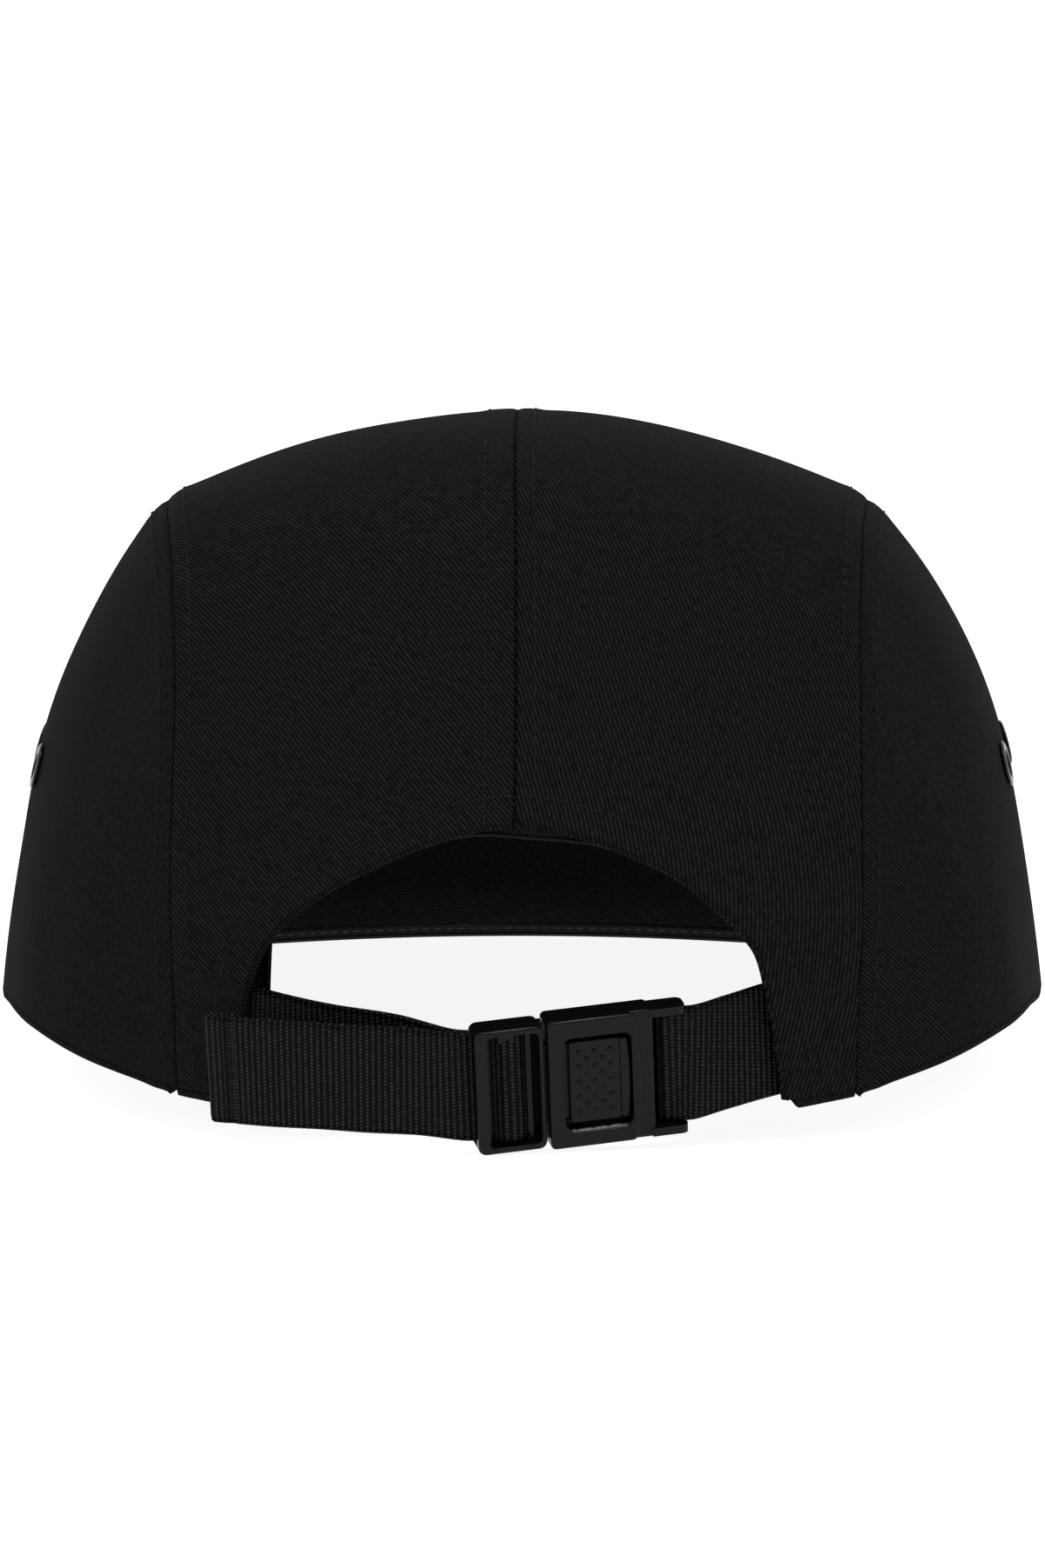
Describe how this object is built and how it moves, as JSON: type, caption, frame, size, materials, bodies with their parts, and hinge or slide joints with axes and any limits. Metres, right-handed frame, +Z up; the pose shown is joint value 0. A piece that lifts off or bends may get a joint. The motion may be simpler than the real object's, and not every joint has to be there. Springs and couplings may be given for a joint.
{
  "type": "jockey cap",
  "caption": "Low five-panel cloth cap with a flat peak, side eyelets and an arched back closed by a webbing strap with a front-release buckle.",
  "frame": {"origin": "middle of the bottom of the whole cap's box, on the surface that it stands on", "axes": "+Z up, the peak points to -Y, the strap lies at +Y, the wearer's left is +X"},
  "size_m": [0.1696, 0.262, 0.1062],
  "materials": {
    "cotton_twill": "matt black cotton twill",
    "facing_tape": "matt black cotton tape, a little greyer than the panels",
    "webbing": "black ribbed polyester webbing",
    "moulded_plastic": "black moulded plastic, satin",
    "enamelled_metal": "black enamel over pressed metal"
  },
  "bodies": {
    "root": {"front_panel": "cotton_twill", "back_panel_left": "cotton_twill", "back_panel_right": "cotton_twill", "side_panel_left": "cotton_twill", "side_panel_right": "cotton_twill", "peak": "cotton_twill", "sweatband": "cotton_twill", "arch_tape": "facing_tape", "strap_adjust": "webbing", "strap_fixed": "webbing", "buckle_male": "moulded_plastic", "buckle_female": "moulded_plastic", "eyelet_left_rear": "enamelled_metal", "eyelet_left_front": "enamelled_metal", "eyelet_right_rear": "enamelled_metal", "eyelet_right_front": "enamelled_metal"}
  },
  "joints": []
}
